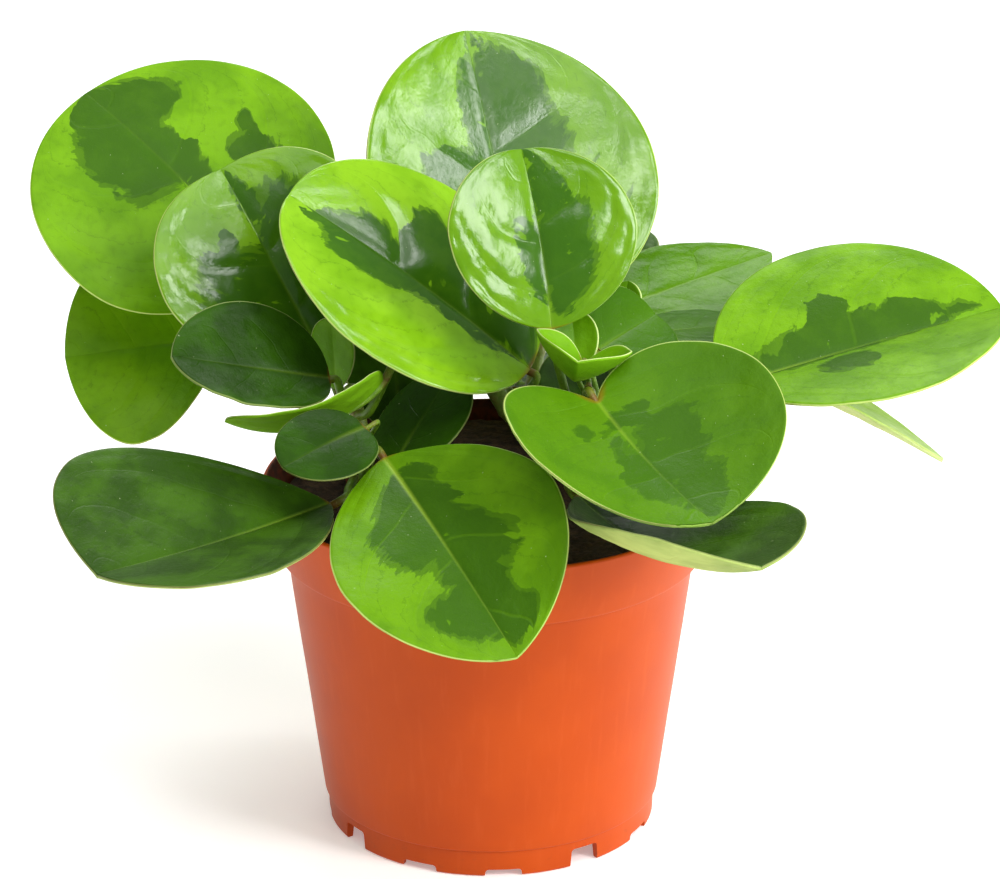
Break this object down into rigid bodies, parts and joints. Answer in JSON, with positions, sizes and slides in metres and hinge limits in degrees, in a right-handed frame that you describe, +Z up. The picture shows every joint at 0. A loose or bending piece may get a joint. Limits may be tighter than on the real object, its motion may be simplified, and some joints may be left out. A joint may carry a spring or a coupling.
{
  "type": "potted peperomia",
  "caption": "Bushy pot plant with thick, glossy, round variegated leaves on fleshy stems, in a tapered plastic nursery pot of soil.",
  "frame": {"origin": "on the surface that the pot stands on, under the middle of the plant's footprint; the pot's own axis is 5 mm to the left of it and 7 mm to the front", "axes": "+Z up along the pot's axis, -Y to the front as pictured, +X to the right of the picture, along the plant's widest spread; -Z is the way the pot's feet face"},
  "size_m": [0.2584, 0.2011, 0.19],
  "materials": {
    "pot": "satin",
    "soil": "crumbly, rough",
    "stem": "smooth",
    "leaf": "waxy, glossy"
  },
  "bodies": {
    "root": {"pot": "pot", "stem_left": "stem", "stem_left_back": "stem", "stem_middle": "stem", "stem_right": "stem", "stem_back": "stem", "soil": "soil", "leaf_left_top": "leaf", "leaf_left_shaded": "leaf", "leaf_left_glossy": "leaf", "leaf_left_young": "leaf", "leaf_left_oval": "leaf", "leaf_left_edge_on": "leaf", "leaf_front_left": "leaf", "leaf_front": "leaf", "leaf_front_small": "leaf", "leaf_inner_dark": "leaf", "leaf_middle_wide": "leaf", "leaf_top": "leaf", "leaf_middle_upright": "leaf", "bud_front": "leaf", "bud_inner": "leaf", "bud_side": "leaf", "leaf_right_young": "leaf", "leaf_right_heart": "leaf", "leaf_right_far": "leaf", "leaf_right_hanging": "leaf", "leaf_right_low": "leaf", "leaf_right_back": "leaf", "leaf_right_inner": "leaf", "leaf_inner_left": "leaf", "leaf_inner_right": "leaf", "leaf_back_left": "leaf", "leaf_back_upper": "leaf", "leaf_back_middle": "leaf", "leaf_back_low": "leaf", "leaf_back_right": "leaf", "leaf_back_tilted": "leaf"}
  },
  "joints": []
}
